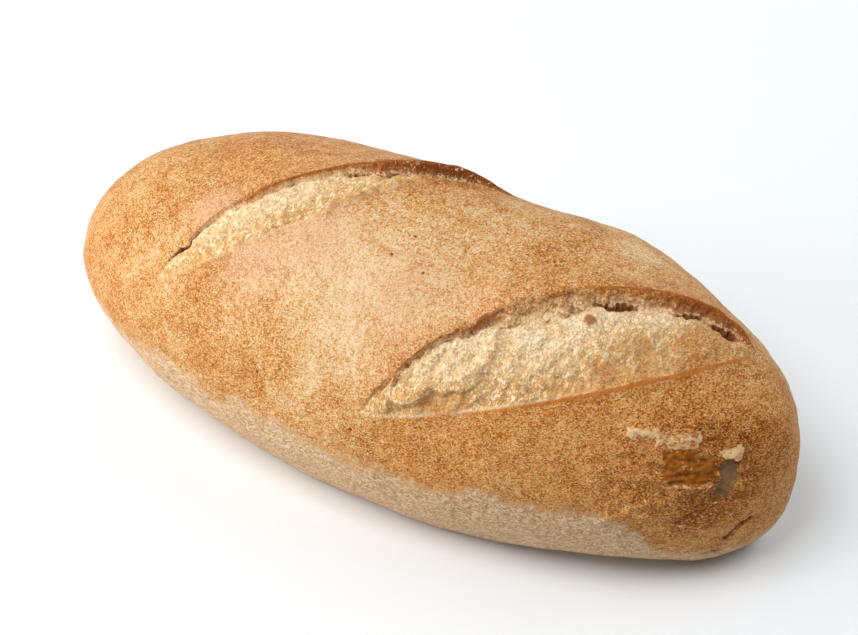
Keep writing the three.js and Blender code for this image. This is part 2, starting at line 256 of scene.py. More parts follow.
# Browning: 0 is pale, 0.4 golden, 1 dark; soft patches on an even bake, as place, reach and amount
EVEN_BAKE = 0.33
PATCHES = (
    ((-0.010, -0.036, 0.080), 0.040, -0.40),
    ((-0.059, 0.012, 0.084), 0.030, 0.40),
    ((-0.081, -0.040, 0.068), 0.015, -0.18),
    ((-0.053, -0.056, 0.058), 0.022, 0.09),
    ((0.066, 0.029, 0.080), 0.009, -0.34),
    ((0.080, 0.028, 0.078), 0.009, -0.20),
    ((0.091, 0.010, 0.082), 0.014, 0.12),
    ((0.039, -0.060, 0.052), 0.022, 0.27),
    ((0.090, -0.040, 0.062), 0.034, 0.27),
    ((0.118, -0.031, 0.046), 0.020, 0.30),
    ((0.120, -0.032, 0.034), 0.014, 0.25),
    ((0.132, -0.014, 0.053), 0.024, 0.58),
    ((0.050, 0.004, 0.088), 0.025, 0.05),
    ((0.022, 0.000, 0.088), 0.022, -0.14),
    ((-0.012, 0.022, 0.089), 0.013, 0.60),
    ((0.002, 0.032, 0.086), 0.013, 0.50),
    ((-0.062, -0.046, 0.069), 0.008, 0.25),
    ((0.030, 0.062, 0.050), 0.040, 0.20),
    ((-0.070, 0.052, 0.050), 0.030, -0.15),
    ((-0.019, -0.060, 0.058), 0.011, 0.20),
    ((-0.039, -0.065, 0.041), 0.012, 0.16),
    ((0.000, -0.063, 0.053), 0.007, 0.22),
    ((0.013, -0.049, 0.070), 0.005, 0.28),
    ((-0.037, -0.058, 0.059), 0.009, -0.16),
    ((-0.006, -0.061, 0.056), 0.006, -0.22),
    ((-0.006, -0.050, 0.070), 0.014, -0.10),
    ((-0.100, -0.050, 0.046), 0.014, 0.10),
    ((-0.114, -0.034, 0.056), 0.014, 0.10),
)

# Pinkish crust beside the cuts and on the crown, as place, reach and amount
BLUSHES = (
    ((-0.069, -0.026, 0.079), 0.010, 0.60),
    ((-0.044, -0.036, 0.077), 0.014, 0.70),
    ((-0.028, -0.026, 0.084), 0.018, 0.60),
    ((0.012, -0.034, 0.080), 0.022, 0.45),
    ((0.036, -0.026, 0.083), 0.016, 0.25),
)

# Crumb of the second cut, more toasted or paler, as place, reach and amount; the darker patches just below
# the far lobe add painted shade under it
CRUMB_PATCHES = (
    ((0.029, -0.056, 0.062), 0.008, 0.35),
    ((0.042, -0.052, 0.065), 0.008, 0.50),
    ((0.051, -0.036, 0.077), 0.005, 0.40),
    ((0.034, -0.044, 0.074), 0.008, -0.35),
    ((0.063, -0.026, 0.081), 0.009, -0.30),
    ((0.060, -0.040, 0.073), 0.006, 0.25),
    ((0.070, -0.037, 0.073), 0.007, 0.40),
    ((0.083, -0.025, 0.077), 0.010, 0.50),
    ((0.092, -0.012, 0.081), 0.010, 0.45),
    ((0.085, -0.005, 0.083), 0.006, -0.35),
    ((0.092, -0.002, 0.082), 0.006, -0.30),
    ((0.104, 0.000, 0.079), 0.009, 0.60),
)

# Pale band along the bottom: the height of its ragged upper edge at places along X
BAND = (
    (-0.14, 0.034), (0.06, 0.037), (0.085, 0.040), (0.100, 0.034), (0.112, 0.019), (0.128, 0.011),
    (0.139, 0.014),
)

# Waves of noise, as height, size and layer: ragged lips, fibres on the torn face, lumps of crumb and crust,
# browning and the edge of the band
CRAGS = ((0.0022, 0.0075, 0.5), (0.0014, 0.0030, 4.5), (0.0008, 0.0013, 9.5))
FIBRES = ((0.0007, 0.0034, 2.5), (0.0009, 0.0014, 5.5))
CRUMB_LUMPS = ((0.0010, 0.009, 7.5), (0.0010, 0.0040, 2.5), (0.0007, 0.0021, 8.5))
CRUST_LUMPS = ((0.0003, 0.008, 6.5), (0.0002, 0.0035, 1.5))
BAKE_WAVES = ((0.16, 0.030, 3.5), (0.13, 0.013, 1.5), (0.06, 0.006, 7.5))
BAND_WAVES = ((0.006, 0.030, 2.5), (0.003, 0.009, 5.5), (0.0012, 0.003, 8.5))

# Small pits, painted dark as the shade in them, and blisters with a pale rim
PITS = (
    (0.0005, -0.0220, 0.0862), (0.0038, -0.0123, 0.0886), (0.0139, -0.0241, 0.0854), (0.0497, 0.0007, 0.0882),
    (0.0115, -0.0650, 0.0463), (-0.0277, -0.0630, 0.0511),
)
PIT = SimpleNamespace(reach=0.0007, depth=0.0006)
BLISTERS = ((0.0257, -0.0647, 0.0442), (0.0211, -0.0662, 0.0377), (0.0229, -0.0662, 0.0311))
BLISTER = SimpleNamespace(reach=0.0024, rim=0.0007, rise=0.0003, flake=0.45)

# Noises that colour the bread, and the grains, creases, dots and hollows of its crust and crumb
NOISES = {
    "speck": dict(size=0.0014, stretch=(0.8, 0.8, 1.3)),
    "mottle": dict(size=0.0028, detail=3.0),
    "patch": dict(size=0.008, detail=4.0),
    "fibre": dict(size=0.0010, detail=3.0, stretch=(1.0, 0.5, 0.8), swirl=1.0),
    "shred": dict(size=0.0008, stretch=(1.0, 0.8, 0.8), swirl=0.6),
    "ragged": dict(size=0.0016),
    "pore": dict(size=0.0010),
}
EVEN_STRETCH = (1, 1, 1)
GRAIN = dict(size=0.00038, stretch=(0.8, 0.8, 1.25))
# Creases of the crust: painted darker as shade where it is pale and paler as glints where it is well baked,
# as well as bumped
CREASE = dict(size=0.00095, stretch=(0.8, 0.8, 1.3))
# Dots: pale flecks of flour, partly painted glints
FLECK_AND_GLINT_DOT = dict(size=0.00085, stretch=(0.7, 0.7, 1.5), gaps=0.45)
# Hollows of the crumb are painted darker as the shade in them, as well as bumped
HOLLOW = dict(size=0.0013)
CRUST_SHINE = 0.12
GLAZE_ROUGHNESS = 0.32
CRUMB_ROUGHNESS = 0.9
TABLE_ROUGHNESS = 0.6
TABLE_HALF = 4.0

# View of the camera: round from the near side, above the table, how far away, its lens and sensor in
# millimetres, and the point it looks at
VIEW_AZIMUTH = math.radians(31.81)
VIEW_ELEVATION = math.radians(41)
VIEW_DISTANCE = 0.725
VIEW_LENS = 86.4
VIEW_SENSOR = 36
VIEW_AIM = Vector((0.0007, 0.0015, 0.0411))

# Softboxes, as the camera sees them: turn to the right from the camera's side, height angle, power and tint
LIGHT_AIM = Vector((0, 0, 0.04))
LIGHT_DISTANCE = 0.8
LIGHT_SIZE = 0.45
SOFTBOXES = (
    SimpleNamespace(name="left_softbox", turn=270, rise=16, power=5.3, tint=(1.0, 1.0, 1.0)),
    SimpleNamespace(name="top_softbox", turn=315, rise=65, power=4.4, tint=(1.0, 1.0, 1.0)),
    SimpleNamespace(name="back_softbox", turn=180, rise=15, power=1.9, tint=(0.9, 0.96, 1.0)),
    SimpleNamespace(name="back_right_softbox", turn=135, rise=15, power=1.6, tint=(0.9, 0.96, 1.0)),
    SimpleNamespace(name="right_softbox", turn=90, rise=45, power=1.7, tint=(0.9, 0.96, 1.0)),
)


def looking_at(aim, place):
    """Matrix of a camera or light at a place that looks at a point."""
    turn = (place - aim).to_track_quat("Z", "Y").to_matrix().to_4x4()
    return Matrix.Translation(place) @ turn


def length_setting(name, description, default):
    """A size in metres."""
    return FloatProperty(name=name, description=description, default=default, unit="LENGTH", precision=5)


def colour_setting(name, description, default):
    """A colour, linear."""
    return FloatVectorProperty(
        name=name, description=description, default=default, subtype="COLOR", size=3, min=0.0, max=1.0
    )


class LoafBody(bpy.types.PropertyGroup):
    """Sizes of the smooth loaf."""

    length: length_setting("Length", "End to end", 0.280)
    width: length_setting("Width", "Side to side at the belly", 0.1335)
    crown_height: length_setting("Crown height", "Bottom to top of the dome", 0.089)
    belly_height: length_setting("Belly height", "Bottom to the widest line", 0.0335)
    tuck_depth: length_setting("Tuck depth", "How far down the flanks would close", 0.061)
    base_softness: length_setting("Base softness", "Rounding where the flank meets the bottom", 0.004)
    near_end_offset: length_setting("Near end offset", "Sideways bend towards the ends", 0.0017)
    crust_wave: length_setting("Crust wave", "Size of the crust's unevenness", 0.026)
    crust_rise: length_setting("Crust rise", "Height of the crust's unevenness", 0.0007)


class LoafCuts(bpy.types.PropertyGroup):
    """Sizes across a cut, from its lip on the far side to its near edge."""

    lip_height: length_setting("Lip height", "Rise of the crust to the lip", 0.0044)
    lip_reach: length_setting("Lip reach", "Width of that rise", 0.024)
    lip_overhang: length_setting("Lip overhang", "How far the lip leans over the crack", 0.0012)
    crack_depth: length_setting("Crack depth", "Depth under the smooth loaf", 0.0036)
    crack_undercut: length_setting("Crack undercut", "How far the crack goes in under the lip", 0.0022)
    crack_width: length_setting("Crack width", "Width of the crack", 0.0024)
    crumb_bulge: length_setting("Crumb bulge", "Rise of the torn crumb", 0.0015)
    edge_ridge: length_setting("Edge ridge", "Rise of the near edge", 0.0006)
    edge_reach: length_setting("Edge reach", "Width of the near edge's slope", 0.0016)
    full_width: length_setting("Full width", "Width of cut from which the lip is at full height", 0.014)


class LoafDetail(bpy.types.PropertyGroup):
    """Longest triangle edges over the loaf."""

    crust_size: length_setting("Crust", "Over the plain crust", 0.0030)
    bottom_size: length_setting("Bottom", "On the flat bottom", 0.0040)
    cut_size: length_setting("Cut", "On the torn crumb", 0.0010)
    lip_size: length_setting("Lip", "Along the lips and the cracks", 0.0004)
    peel_size: length_setting("Peel", "On the peeled patch", 0.00085)
    start_detail: IntProperty(name="Start detail", description="Subdivisions of the first ball", default=5)
    rounds: IntProperty(name="Rounds", description="Most times that an edge is halved", default=7)


class LoafColours(bpy.types.PropertyGroup):
    """Colours of crust and crumb."""

    floury_crust: colour_setting("Floury crust", "Palest grains", (0.78, 0.60, 0.38))
    pale_crust: colour_setting("Pale crust", "Least baked crust", (0.67, 0.48, 0.27))
    golden_crust: colour_setting("Golden crust", "Crust baked golden", (0.60, 0.36, 0.135))
    tan_crust: colour_setting("Tan crust", "Paler grains of well baked crust", (0.66, 0.33, 0.11))
    amber_crust: colour_setting("Amber crust", "Crust baked amber", (0.57, 0.252, 0.06))
    baked_crust: colour_setting("Baked crust", "Crust baked orange-brown", (0.45, 0.157, 0.022))
    dark_crust: colour_setting("Dark crust", "Dark crust", (0.32, 0.088, 0.011))
    burnt_crust: colour_setting("Burnt crust", "Darkest grains", (0.13, 0.035, 0.005))
    # Fleck: pale grains, partly painted glints
    fleck_and_glint: colour_setting("Fleck", "Pale grains on dark crust", (0.80, 0.49, 0.25))
    blush: colour_setting("Blush", "Pinkish crust", (0.70, 0.43, 0.27))
    band: colour_setting("Bottom band", "Crust along the bottom", (0.61, 0.405, 0.225))
    band_pale: colour_setting("Pale bottom band", "Floury grains along the bottom", (0.85, 0.68, 0.48))
    band_dark: colour_setting("Dark bottom band", "Darker grains along the bottom", (0.36, 0.19, 0.075))
    glaze: colour_setting("Glaze", "Smooth crust where a blister has peeled", (0.21, 0.05, 0.0025))
    # Pale glaze: painted highlight on the ridges of the glaze's wrinkles
    glaze_highlight: colour_setting("Pale glaze", "Ridges of that smooth crust", (0.43, 0.135, 0.012))
    flake: colour_setting("Flake", "Edges of peeled crust", (0.86, 0.57, 0.30))
    crumb: colour_setting("Crumb", "Torn crumb in the cuts", (0.80, 0.54, 0.28))
    # Pale crumb: the paler crumb deep in the cut, and painted highlight on the strands and along the near
    # edge's ridge
    pale_crumb_and_highlight: colour_setting("Pale crumb", "Palest strands of crumb", (0.95, 0.78, 0.53))
    # Dark crumb: painted shade in the crumb's hollows and pores and along the tear under the far lobe
    crumb_shade: colour_setting("Dark crumb", "Hollows of the crumb", (0.46, 0.23, 0.075))
    toasted_crumb: colour_setting("Toasted crumb", "Crumb at the cuts' near edge", (0.67, 0.37, 0.12))
    torn_face: colour_setting("Torn face", "Torn crust under the lips", (0.56, 0.25, 0.07))
    torn_pale: colour_setting("Torn strands", "Pale strands of the torn crust", (0.95, 0.68, 0.39))
    crest: colour_setting("Crest", "Browned crest of the lips", (0.37, 0.105, 0.019))
    edge: colour_setting("Near edge", "Crust along the cuts' near edge", (0.49, 0.15, 0.024))
    # Crack: painted shade, laid in the cracks under the lips, in the pits and crevices, under the flakes and
    # under the hole's upper edge
    crack: colour_setting("Crack", "Cracks and pits", (0.19, 0.045, 0.005))
    hole: colour_setting("Hole", "Crumb in the peeled hole", (0.21, 0.105, 0.04))
    hole_pale: colour_setting("Pale hole", "Paler crumb in the peeled hole", (0.42, 0.275, 0.125))


class LoafStage(bpy.types.PropertyGroup):
    """Table and light."""

    floor_colour: colour_setting("Floor colour", "Pale table", (0.86, 0.88, 0.895))
    light: FloatProperty(name="Light", description="Power of all softboxes together", default=1.0, min=0.0)
    sky_strength: FloatProperty(name="Sky strength", description="Even light from all round", default=0.15)


class LoafSettings(bpy.types.PropertyGroup):
    """All that the loaf is built from."""

    body: PointerProperty(type=LoafBody)
    cuts: PointerProperty(type=LoafCuts)
    detail: PointerProperty(type=LoafDetail)
    colours: PointerProperty(type=LoafColours)
    stage: PointerProperty(type=LoafStage)


def smoothstep(value, low, high):
    share = np.clip((value - low) / (high - low), 0.0, 1.0)
    return share * share * (3.0 - 2.0 * share)


def lerp(first, second, share):
    return first + (second - first) * share


def signed_power(value, power):
    return np.sign(value) * np.abs(value) ** power


def bell(distance, reach):
    """1 at no distance, softly down to nothing beyond the reach."""
    return np.exp(-((distance / reach) ** 2))


def wave(points, size, layer=0.0):
    """Smooth noise from -1 to 1 at the points, with bumps of about this size."""
    spots = np.asarray(points) / size + layer
    return np.array([noise.noise(spot) for spot in spots.tolist()])


def waves(points, rows):
    """The sum of waves that are given as height, size and layer."""
    return sum(height * wave(points, size, layer) for height, size, layer in rows)


def sway(points, kind):
    """Uneven steps in two directions, that make an outline ragged."""
    return kind.reach * np.stack([wave(points, kind.size, layer) for layer in kind.layers], -1)


def spot_distance(spots, points):
    """Distance of points from the nearest of some spots."""
    return np.min([np.linalg.norm(points - spot, axis=-1) for spot in np.array(spots)], axis=0)


def patches_at(patches, points):
    """How much of each soft patch there is at points."""
    return [amount * bell(spot_distance([place], points), reach) for place, reach, amount in patches]


def section(body, along):
    """Middle, half width and share of the full height of the section at along, from -1 to 1."""
    near = smoothstep(along, -1.0, 1.0)
    plan = lerp(FAR_END.plan, NEAR_END.plan, near)
    ridge = lerp(FAR_END.ridge, NEAR_END.ridge, near)
    reach = np.minimum(np.abs(along), 1.0)
    return SimpleNamespace(
        middle=body.near_end_offset * along,
        half_width=(body.width / 2) * (1 - reach**plan) ** (1 / plan),
        height_share=(1 - reach**ridge) ** (1 / ridge),
    )


def settle(body, x, y, z):
    """Flattens what would lie below the bottom and softens the edge where the flank meets it."""
    away = np.hypot(x - BASE_LIFT.x, y - BASE_LIFT.y) / BASE_LIFT.reach
    floor = BASE_LIFT.rise * (1 - smoothstep(away, 0.0, 1.0))
    above = z - floor
    soft = body.base_softness
    rounded = floor + np.clip(above + soft, 0.0, None) ** 2 / (4 * soft)
    return np.where(above >= soft, z, rounded)


def body_points(body, along, turn):
    """Points of the smooth loaf; turn is the angle round the section, from the far side over the top."""
    cross = section(body, along)
    side, rise = np.cos(turn), np.sin(turn)
    power = 2 / np.where(rise >= 0, DOME_POWER, FLANK_POWER)
    half = np.where(rise >= 0, body.crown_height - body.belly_height, -body.tuck_depth)
    x = (body.length / 2) * along
    y = cross.middle + cross.half_width * signed_power(side, power)
    z = body.belly_height + half * cross.height_share * np.abs(rise) ** power
    return np.stack([x, y, settle(body, x, y, z)], -1)


def body_normals(body, along, turn):
    """Outward normals of the smooth loaf, from neighbouring points on it."""
    step = 1e-3
    ahead = body_points(body, np.clip(along + step, -1, 1), turn)
    behind = body_points(body, np.clip(along - step, -1, 1), turn)
    around = body_points(body, along, turn + step) - body_points(body, along, turn - step)
    normals = np.cross(around, ahead - behind)
    size = np.linalg.norm(normals, axis=-1, keepdims=True)
    ends = np.stack([np.sign(along), 0 * along, 0 * along], -1)
    return np.where(size > TINY, normals / np.maximum(size, TINY), ends)


def turn_over(body, along, y):
    """The turn of the point of the upper loaf that lies over a place in plan."""
    cross = section(body, along)
    share = np.clip((y - cross.middle) / np.maximum(cross.half_width, TINY), -1, 1)
    return np.arccos(signed_power(share, DOME_POWER / 2))


def body_place(body, x, angle):
    """Point and normal of the smooth loaf at a place along X and an angle in degrees."""
    along = np.array([2 * x / body.length])
    turn = np.array([math.radians(angle)])
    return body_points(body, along, turn)[0], body_normals(body, along, turn)[0]


def bow(share, lean):
    """A bow over 0 to 1 with a height of 1, its peak leaning to one end or the other."""
    first, second = lean
    s = np.clip(share, 0.0, 1.0)
    peak = first / (first + second)
    return s**first * (1 - s) ** second / (peak**first * (1 - peak) ** second)


def place_in_cut(cuts, cut, points):
    """Points as a cut sees them: the run along it, the distance from its lip, positive on the far side, its
    width there and what the cut gives along its run."""
    first, second = (np.array(tip) for tip in cut.tips)
    length = np.linalg.norm(second - first)
    along = (second - first) / length
    across = np.array([-along[1], along[0]])
    offset = points[:, :2] - first
    share = offset @ along / length
    lip = cut.lip.bow * bow(share, cut.lip.lean)
    width = lip + cut.edge.bow * bow(share, cut.edge.lean)
    narrow = np.minimum(1, width / cuts.full_width)
    taper = np.minimum(1, TIP_TAPER * narrow * bow(share, EVEN_LEAN))
    return SimpleNamespace(
        inside=(share > 0) & (share < 1),
        run=share * length,
        from_lip=offset @ across - lip,
        width=width,
        narrow=narrow,
        taper=taper,
        crack_width=cuts.crack_width * cut.crack * taper,
        across=across,
        **{name: np.interp(share, *zip(*getattr(cut, name))) for name in ALONG_CUT},
    )


def picked(place, chosen):
    """The same for some of the points."""
    return SimpleNamespace(**{
        name: value if name == "across" else value[chosen] for name, value in vars(place).items()
    })


def cut_stations(cuts, cut, place):
    """Distance from the lip, sideways shift and rise of the surface at stations across a cut."""
    lip = cuts.lip_height * place.rise
    overhang = cuts.lip_overhang * place.rise * cut.overhang
    bulge = cuts.crumb_bulge * place.narrow
    crack_foot = -place.face - place.crack_width / 2
    crumb_start = crack_foot - place.crack_width
    none = np.zeros_like(place.width)
    return [
        *[(none + reach * cuts.lip_reach, none, height * lip) for reach, height in LIP_SLOPE],
        *[(-share * place.face, (share / 2 - 1) * overhang, height * lip) for share, height in FACE_SLOPE],
        (crack_foot, cuts.crack_undercut * place.gape * cut.overhang, -cuts.crack_depth * place.gape),
        *[(lerp(crumb_start, -place.width, share), none, height * bulge) for share, height in CRUMB_SLOPE],
    ]


def between_stations(stations, at):
    """Shift and rise at distances from the lip, on straight lines between the stations."""
    shift, rise = np.zeros_like(at), np.zeros_like(at)
    for (high_at, high_shift, high_rise), (low_at, low_shift, low_rise) in zip(stations, stations[1:]):
        here = (at < high_at) & (at >= low_at)
        share = (at - low_at) / np.maximum(high_at - low_at, TINY)
        shift = np.where(here, lerp(low_shift, high_shift, share), shift)
        rise = np.where(here, lerp(low_rise, high_rise, share), rise)
    return shift, rise


def torn_fibres(place, strands):
    """How far fibres stand out of the torn face."""
    roll = ROLL * place.face
    fibres = waves(strands, FIBRES) * np.sqrt(place.rise)
    fibres *= smoothstep(place.at + place.face, -FIBRE_SOFT, 0.0)
    return fibres * smoothstep(-place.at, 0.3 * roll, 1.4 * roll)


def cut_marks(cut, place):
    """Marks of what lies where in a cut; crumb, torn and inward are depths in millimetres."""
    below = -place.at - ROLL * place.face
    in_crack = smoothstep(-place.at, 0.8 * place.face, place.face)
    in_crack *= 1 - smoothstep(
        -place.at, place.face + 0.5 * place.crack_width, place.face + 1.1 * place.crack_width
    )
    charred = smoothstep(-place.at, -0.5 * MM, 0.3 * MM)
    charred *= 1 - smoothstep(-place.at, place.face, place.face + CHAR_REACH)
    crest = (
        bell(place.at, CREST_REACH) * np.minimum(place.crest, 1),
        BROW.share * bell(place.from_lip, np.where(place.from_lip > 0, BROW.reach, BROW.drop)) * place.crest,
        charred * place.char,
    )
    edge_line = bell(place.in_edge + EDGE_REACH / 2, EDGE_REACH)
    edge_line += EDGE_SOFT.share * bell(place.in_edge, EDGE_SOFT.reach)
    return {
        "crumb": np.minimum(below, place.in_edge * cut.fade) / MM,
        "torn": np.minimum(below, place.at + place.face) / MM - place.char,
        "inward": place.in_edge / MM,
        "crest": np.max(crest, axis=0),
        "fringe": bell(place.at + place.face, FRINGE_REACH) * np.sqrt(place.rise),
        # crack: where the crack is painted dark as the shade in it
        "crack": in_crack * place.gape,
        "edge": place.crust_edge * place.narrow * edge_line,
        # rim: painted highlight along the ridge of the near edge
        "rim": place.narrow * bell(place.in_edge - EDGE_REACH, 0.7 * EDGE_REACH),
        "toast": place.toast,
    }


def cut_relief(cuts, cut, points):
    """How a cut moves the surface at points of the smooth loaf, and marks of what lies where."""
    place = place_in_cut(cuts, cut, points)
    near = place.inside & (place.from_lip < cuts.lip_reach)
    chosen = np.flatnonzero(near & (place.from_lip > -place.width - 2 * cuts.edge_reach))
    place = picked(place, chosen)
    place.gape = place.taper * place.gape
    strands = np.stack([place.run, place.from_lip / STRAND_STRETCH, 0 * place.run], -1)
    torn = smoothstep(-place.from_lip, -0.5 * TORN_REACH, TORN_REACH) * place.taper
    place.at = place.from_lip + torn * waves(strands, CRAGS)
    place.in_edge = place.from_lip + place.width
    shift, rise = between_stations(cut_stations(cuts, cut, place), place.at)
    in_crumb = smoothstep(np.minimum(-place.face - place.at, place.in_edge), 0.0, CRUMB_SOFT)
    rise += waves(points[chosen], CRUMB_LUMPS) * place.narrow * in_crumb
    fibres = torn_fibres(place, strands)
    shift -= fibres
    rise += FIBRE_LIFT * fibres
    rise += cuts.edge_ridge * place.narrow * place.crust_edge * bell(place.in_edge, cuts.edge_reach)
    relief = SimpleNamespace(shift=np.zeros((len(points), 2)), rise=np.zeros(len(points)), marks={})
    relief.shift[chosen] = shift[:, None] * place.across
    relief.rise[chosen] = rise
    for name, value in cut_marks(cut, place).items():
        relief.marks[name] = np.full(len(points), -FAR_MM if name in DEPTH_MARKS else 0.0)
        relief.marks[name][chosen] = value
    return relief


def outline_distance(outline, places):
    """Distance of places from a closed outline, positive inside it."""
    corners = np.array(outline)
    nearest = np.full(len(places), np.inf)
    inside = np.zeros(len(places), bool)
    for corner, following in zip(corners, np.roll(corners, -1, axis=0)):
        nearest = np.minimum(nearest, line_distance((corner, following), places))
        rise = following[1] - corner[1]
        crosses = (corner[1] > places[:, 1]) != (following[1] > places[:, 1])
        slope = (following[0] - corner[0]) / (rise if abs(rise) > TINY else TINY)
        inside ^= crosses & (places[:, 0] < corner[0] + (places[:, 1] - corner[1]) * slope)
    return np.where(inside, nearest, -nearest)


def line_distance(line, places):
    """Distance of places from a line through some points."""
    nearest = np.full(len(places), np.inf)
    for start, end in zip(line, line[1:]):
        start, run = np.array(start), np.array(end) - np.array(start)
        share = np.clip((places - start) @ run / max(run @ run, TINY**2), 0, 1)
        nearest = np.minimum(nearest, np.linalg.norm(places - start - share[:, None] * run, axis=-1))
    return nearest


def crumb_lobe(points):
    """Rise of the far lobe of crumb in the second cut and of the browned lump under its lip, and marks for
    the lump and for the painted shadow along the tear at the lobe's lower edge."""
    distance = outline_distance(LOBE, points[:, :2] + sway(points, LOBE_SWAY))
    lobe = smoothstep(distance, -0.3 * MM, 0.9 * MM) * smoothstep(-distance, -9 * MM, -2 * MM)
    lump = bell(np.hypot(points[:, 0] - LUMP.x, points[:, 1] - LUMP.y), LUMP.reach)
    tear = bell(distance + TEAR_REACH / 2, TEAR_REACH) * smoothstep(-points[:, 1], *TEAR_SPAN)
    return LOBE_RISE * lobe + LUMP.rise * lump, lump, tear


def swell_relief(body, points):
    """Rise of the soft swellings and hollows."""
    places = [(body_place(body, x, angle)[0], reach, rise) for x, angle, reach, rise in SWELLS]
    return sum(patches_at(places, points))


def peel_places(body, points):
    """Level and upward distances from the middle of the peeled patch, and the share of the way out of it."""
    middle, out = body_place(body, PEEL.x, PEEL.angle)
    level = np.cross((0, 0, 1), out)
    level /= np.linalg.norm(level)
    away = points - middle
    places = np.stack([away @ level, away @ np.cross(out, level)], -1)
    share = np.linalg.norm((places - PEEL.middle) / PEEL.reach, axis=-1)
    return places, np.where(away @ out > -PEEL.reach[0], share, np.inf)


def peel_flakes(places):
    """Pale flakes, their lips and the shade under them, fading towards their upper ends."""
    flake, lip, under = (np.zeros(len(places)) for _ in range(3))
    for piece in FLAKES:
        heights = [height for _, height in piece.outline]
        inside = outline_distance(piece.outline, places)
        low = 1 - smoothstep(places[:, 1], lerp(min(heights), max(heights), FLAKE_FADE), max(heights))
        flake = np.maximum(flake, piece.share * smoothstep(inside, -0.2 * MM, 0.4 * MM) * low)
        lip = np.maximum(lip, bell(inside, FLAKE_LIP) * low)
        under = np.maximum(under, bell(inside + 1.5 * FLAKE_LIP, FLAKE_LIP) * low)
    return flake, lip, under


def peel_plates(spots, fade):
    """Rise of the thin plates and crinkles of the peeled patch, and where the plates have their edges."""
    plates = waves(spots, PLATES)
    step = plates - np.floor(plates)
    rise = PLATE_RISE * (np.floor(plates) + smoothstep(step, 0.35, 0.65))
    rise += CRINKLE.rise * (1 - 3 * np.abs(wave(spots, CRINKLE.size, CRINKLE.layer)))
    return rise * fade, bell(step - 0.5, PLATE_EDGE) * fade


def peel_glaze(places):
    """Share of the smooth glaze, by its outlines."""
    return np.max([
        patch.share * smoothstep(outline_distance(patch.outline, places), -0.4 * MM, 0.9 * MM)
        for patch in GLAZES
    ], axis=0)


def peel_hole(spots, places):
    """Share of the hole, the height of its floor and the shade under its upper edge."""
    inside = outline_distance(HOLE, places)
    shade = bell(inside - HOLE_SHADE.inset, HOLE_SHADE.reach) * smoothstep(places[:, 1], *HOLE_SHADE.span)
    return smoothstep(inside, -0.1 * MM, 0.35 * MM), waves(spots, HOLE_FLOOR) - HOLE_DEPTH, shade


def peel_relief(body, points):
    """Rise on the peeled patch, and marks for its glaze, pale flakes, hole and scorch, and for the painted
    shade in its crevices, under its flakes and under the hole's upper edge.
    """
    places, share = peel_places(body, points)
    chosen = np.flatnonzero(share < PEEL.fade[1])
    spots = points[chosen]
    places, fade = places[chosen], 1 - smoothstep(share[chosen], *PEEL.fade)
    for kind in PEEL_SWAYS:
        places = places + sway(spots, kind)
    stretched = spots * PLATE_STRETCH
    rise, plate_edge = peel_plates(stretched, fade)
    glaze = peel_glaze(places)
    wrinkle = wave(stretched, WRINKLE.size, WRINKLE.layer)
    rise += glaze * (WRINKLE.rise * wrinkle - GLAZE_DEPTH)
    flake, lip, under = peel_flakes(places)
    lower = bell(line_distance(LOWER_FLAKES, places), LOWER_REACH)
    # the crevices are grooves that are also painted dark as the shade in them
    crevice = np.max([bell(line_distance(line, places), CREVICE_REACH) for line in CREVICES], axis=0)
    rise += FLAKE_RISE * (flake + lower) + FOLD_RISE * bell(line_distance(FOLD, places), FOLD_REACH)
    rise -= CREVICE_DEPTH * crevice
    hole, hole_floor, shade = peel_hole(spots, places)
    rise = lerp(rise, hole_floor, hole)
    plate_flake = 0.75 * plate_edge * (1 - 0.25 * glaze)
    values = {
        "rise": rise,
        "glaze": glaze * (1 - hole),
        "wrinkle": wrinkle,
        "flake": np.max([flake, lip, 0.7 * lower, plate_flake], axis=0) * (1 - hole),
        "hole": hole,
        # dark: painted shade in the crevices, under the hole's upper edge and under the flakes
        "dark": np.max([crevice, shade, 0.5 * under * (1 - hole)], axis=0),
        "scorch": np.clip(sum(bell(spot_distance([spot], places), SCORCH.reach) for spot in SCORCHES), 0, 1),
    }
    full = {name: np.zeros(len(points)) for name in values}
    for name, value in values.items():
        full[name][chosen] = value
    return full.pop("rise"), full


def on_crust(spots, points):
    """The points of the crust that lie nearest to some spots."""
    return [points[np.argmin(((points - spot) ** 2).sum(-1))] for spot in np.array(spots)]


def unit_ball(detail):
    """Corners and triangles of a ball."""
    ball = bmesh.new()
    bmesh.ops.create_icosphere(ball, subdivisions=detail, radius=1.0)
    ball.verts.index_update()
    corners = np.array([corner.co for corner in ball.verts])
    faces = np.array([[corner.index for corner in face.verts] for face in ball.faces])
    ball.free()
    return corners / np.linalg.norm(corners, axis=-1, keepdims=True), faces


def along_and_turn(directions):
    return np.clip(directions[:, 0], -1, 1), np.arctan2(directions[:, 2], directions[:, 1])


def triangle_size(settings, points):
    """Longest edge asked for at points of the smooth loaf."""
    detail, cuts, body = settings.detail, settings.cuts, settings.body
    bottom = points[:, 2] < body.base_softness / 2
    size = np.where(bottom, detail.bottom_size, detail.crust_size)
    finer = [
        (peel_places(body, points)[1] < 1, detail.peel_size),
        (spot_distance(PITS, points) < 3.5 * PIT.reach, detail.lip_size),
        (spot_distance(BLISTERS, points) < 2 * BLISTER.reach, detail.cut_size),
    ]
    for cut in CUTS:
        place = place_in_cut(cuts, cut, points)
        inside = place.inside & (points[:, 2] > body.belly_height)
        crack_end = np.minimum(place.width, place.face + 2 * cuts.crack_width)
        in_cut = inside & (place.from_lip < 5 * MM) & (place.from_lip > -place.width - cuts.edge_reach)
        at_lip = inside & (place.from_lip < 2 * MM) & (place.from_lip > -crack_end)
        finer += [(in_cut, detail.cut_size), (at_lip, detail.lip_size)]
    for here, longest in finer:
        size = np.where(here, np.minimum(size, longest), size)
    return size


def turned(rows, first):
    """Each row of three turned so that it starts at its own first place."""
    return np.take_along_axis(rows, (first[:, None] + np.arange(3)) % 3, 1)


